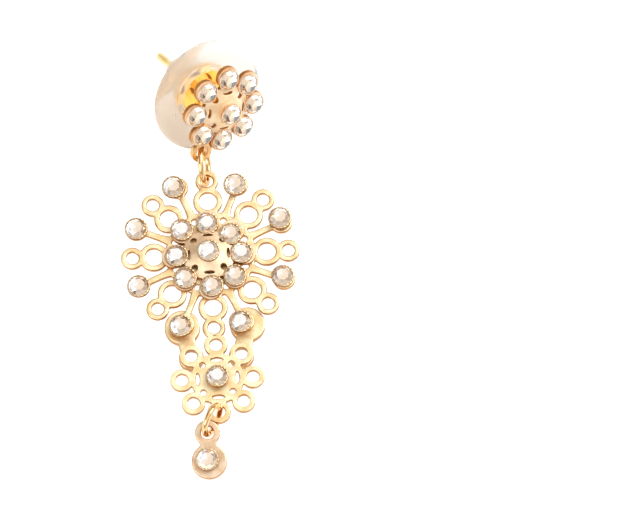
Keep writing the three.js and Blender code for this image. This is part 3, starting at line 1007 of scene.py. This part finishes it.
# The earring
def set_stones():
    """A cut stone and its gripped cup at each packed stone's seat."""
    tall_cup = gripped_cup(GIRDLE_H + SOLDER_LAP)
    low_cup = gripped_cup(FLOWER_GIRDLE_H + CUP_SINK)
    stone = cut_stone(TABLE_PAINTED_LIGHT, CROWN_PAINTED_LIGHT)
    stud_stone = cut_stone(STUD_TABLE_PAINTED_LIGHT, STUD_CROWN_PAINTED_LIGHT)
    shade(tall_cup)
    shade(low_cup)
    shade(stone, flat=True)
    shade(stud_stone, flat=True)
    # Numbered stones in each group, or 0 for one stone without a number
    groups = [("stud", 9), ("cluster", 9), ("ray", 8), ("flower", 0), ("pendant", 0)]
    holders = {"stud": "stud_head", "pendant": "pendant_disc"}
    for group, count in groups:
        names = [f"{group}_stone_{index + 1}" for index in range(count)] or [f"{group}_stone"]
        for index, node in enumerate(names):
            seat, axis = seat_of(node)
            drop_turn = DROP_TURN + DROP_TURN_STEP * index % DROP_TURN_RANGE
            turn = STUD_TURN if group == "stud" else drop_turn
            across = Vector((math.cos(math.radians(turn)), math.sin(math.radians(turn)), 0))
            matrix = place(seat, across, axis)
            cut_as = stud_stone if group == "stud" else stone
            gem = copy_of(cut_as, node.replace("stone", "crystal"))
            if node in BRIGHT_STONES:
                paint_table_highlight(gem)
            set_piece(gem, matrix, [clear, backing], "crystal", "earring", node)
            cup = low_cup if group in ("stud", "cluster") else tall_cup
            bezel = copy_of(cup, node.replace("stone", "cup"))
            # The stud's cups get the lit copy, all the others the copy with painted shade
            cup_gold = lit_cup if group == "stud" else shaded_cup
            set_matte(bezel, matrix, cup_gold, holders.get(group, "filigree_drop"))
    for pattern in (tall_cup, low_cup, stone, stud_stone):
        bpy.data.objects.remove(pattern)


def build_drop():
    """The plate, the lower flower, the domed cluster, and the stud's flower, which is cut alike."""
    plate = sunburst_plate()
    shade(plate)
    set_matte(plate, plate_place, satin, "filigree_drop")
    flower = flower_blank(SHEET_T, SLOT_WIDTH)
    flower.name = "lower_flower"
    cluster = flower_blank(FLOWER_T, DOME_SLOT_WIDTH)
    cluster.name = "cluster_flower"
    press_dome(cluster)
    stud = copy_of(cluster, "stud_flower")
    for piece in (flower, cluster, stud):
        shade(piece)
    set_matte(flower, flower_place, satin, "filigree_drop")
    set_matte(cluster, cluster_place, dome_satin, "filigree_drop")
    petal_turn = Matrix.Rotation(math.pi / PETALS, 4, "Z")
    flower_back = Matrix.Translation((0, 0, -petal_level))
    set_matte(stud, stud_place @ flower_back @ petal_turn, dome_satin, "stud_head")


def build_links():
    """The two link discs on the lower flower, and the pendant disc where its stone is."""
    link = tabbed_disc(LINK_PITCH, LINK_HOLE_D)
    shade(link)
    for side, name in ((-1, "left_link"), (1, "right_link")):
        hole = Vector((flower_top.x, flower_top.y, 0))
        hole += Vector((side, 1, 0)) * PETAL_R / math.sqrt(2)
        turned = Matrix.Rotation(math.pi - side * math.radians(LINK_LEAN), 4, "Z")
        disc = copy_of(link, name)
        set_matte(disc, Matrix.Translation(hole) @ turned, satin, "filigree_drop")
    seat, axis = seat_of("pendant_stone")
    across = UP.cross(axis).normalized()
    along = axis.cross(across)
    shift_x, shift_y = PENDANT_STONE_SHIFT
    hole = seat - across * shift_x - along * (shift_y - TAB_PITCH) - axis * (LINK_T + GIRDLE_H)
    bpy.data.objects.remove(link)
    pendant = tabbed_disc(TAB_PITCH, TAB_HOLE_D)
    pendant.name = "pendant_plate"
    shade(pendant)
    set_matte(pendant, place(hole, across, axis), darker_satin, "pendant_disc")


def build_stud():
    """The stud's post and hang loop, and the clutch on the post."""
    back = post()
    shade(back)
    set_matte(back, stud_place, pale, "stud_head")
    loop = hang_loop()
    shade(loop)
    lift = Matrix.Translation((0, 0, -LOOP_SET_BACK - SHEET_T / 2))
    set_matte(loop, stud_place @ lift, deep_gold, "stud_head")
    disc = clutch_disc()
    shade(disc)
    set_piece(disc, stud_place, [soft], "silicone", "clutch", "clutch_disc")
    insert = clutch_insert()
    shade(insert)
    set_piece(insert, stud_place, [glowing_insert_gold], "polished_gold", "clutch", "clutch_insert")


# Floor, light and camera
def set_camera():
    """A long lens over the middle of the photo, which is right of the earring."""
    elevation = math.radians(CAMERA_ELEVATION)
    back = Vector((0, -math.cos(elevation), math.sin(elevation)))
    upright = Vector((0, math.sin(elevation), math.cos(elevation)))
    roll = math.radians(CAMERA_ROLL)
    right = Vector((1, 0, 0)) * math.cos(roll) - upright * math.sin(roll)
    upward = upright * math.cos(roll) + Vector((1, 0, 0)) * math.sin(roll)
    centre = plate_centre + right * VIEW_RIGHT - upward * VIEW_DOWN
    distance = PHOTO_MM * CAMERA_LENS / SENSOR
    data = bpy.data.cameras.new("camera")
    data.lens = CAMERA_LENS
    data.sensor_width = SENSOR
    data.clip_start = 0.01
    camera = bpy.data.objects.new("camera", data)
    turned = Matrix((right, upward, back)).transposed().to_4x4()
    camera.matrix_world = Matrix.Translation((centre + back * distance) * MM) @ turned
    bpy.context.scene.collection.objects.link(camera)
    bpy.context.scene.camera = camera


def add_softbox(name, direction, distance, size, power):
    data = bpy.data.lights.new(name, "AREA")
    data.shape = "DISK"
    data.size = size
    data.energy = power
    lamp = bpy.data.objects.new(name, data)
    way = Vector(direction).normalized()
    lamp.location = way * distance
    lamp.rotation_mode = "QUATERNION"
    lamp.rotation_quaternion = way.to_track_quat("Z", "Y")
    bpy.context.scene.collection.objects.link(lamp)


def set_studio():
    """A white floor that glows, as a light table does, and two softboxes."""
    bpy.ops.mesh.primitive_plane_add(size=6, location=(0, 0, 0))
    floor = bpy.context.object
    floor.name = "floor"
    material, nodes, links, shader = new_material("white_floor")
    shader.inputs["Roughness"].default_value = 0.9
    shader.inputs["Specular IOR Level"].default_value = 0.1
    shader.inputs["Emission Color"].default_value = (1, 1, 1, 1)
    shader.inputs["Emission Strength"].default_value = 0.95
    tone = ramp(nodes, links, noise(nodes, links, scale=3), [(0.3, grey(0.35)), (0.7, grey(0.37))])
    links.new(tone, shader.inputs["Base Color"])
    floor.data.materials.append(material)
    add_softbox("key_softbox", direction=(0.8, 0.35, 0.9), distance=0.5, size=0.3, power=1.35)
    add_softbox("fill_softbox", direction=(-0.8, -0.6, 0.7), distance=0.5, size=0.3, power=1.0)


def set_sky():
    """A white room with a warm band round it, and a dark upright flag that the metal mirrors."""
    world = bpy.data.worlds.new("studio")
    world.use_nodes = True
    nodes, links = world.node_tree.nodes, world.node_tree.links
    coordinates = nodes.new("ShaderNodeTexCoord")
    height = nodes.new("ShaderNodeSeparateXYZ")
    links.new(coordinates.outputs["Generated"], height.inputs["Vector"])
    low_warm, high_warm = (0.50, 0.43, 0.37), (0.58, 0.51, 0.45)
    sky = [
        (0.0, grey(0.95)),
        (0.15, grey(0.8)),
        (0.3, low_warm),
        (0.55, high_warm),
        (0.75, grey(1)),
    ]
    flag = [(0.1, grey(1)), (0.14, grey(0.06)), (0.22, grey(0.06)), (0.26, grey(1))]
    sideways = nodes.new("ShaderNodeMapRange")
    sideways.inputs["From Min"].default_value = -1
    links.new(height.outputs["X"], sideways.inputs["Value"])
    dome = ramp(nodes, links, height.outputs["Z"], sky)
    stripe = ramp(nodes, links, sideways.outputs["Result"], flag)
    links.new(mix(nodes, links, 1.0, dome, stripe, "MULTIPLY"), nodes["Background"].inputs["Color"])
    nodes["Background"].inputs["Strength"].default_value = 1.0
    bpy.context.scene.world = world


set_camera()
build_drop()
build_links()
build_stud()
set_stones()
jump_ring("top_ring", "top_jump_ring")
jump_ring("lower_ring", "lower_jump_ring")
set_studio()
set_sky()
bpy.context.scene.view_settings.view_transform = "Standard"
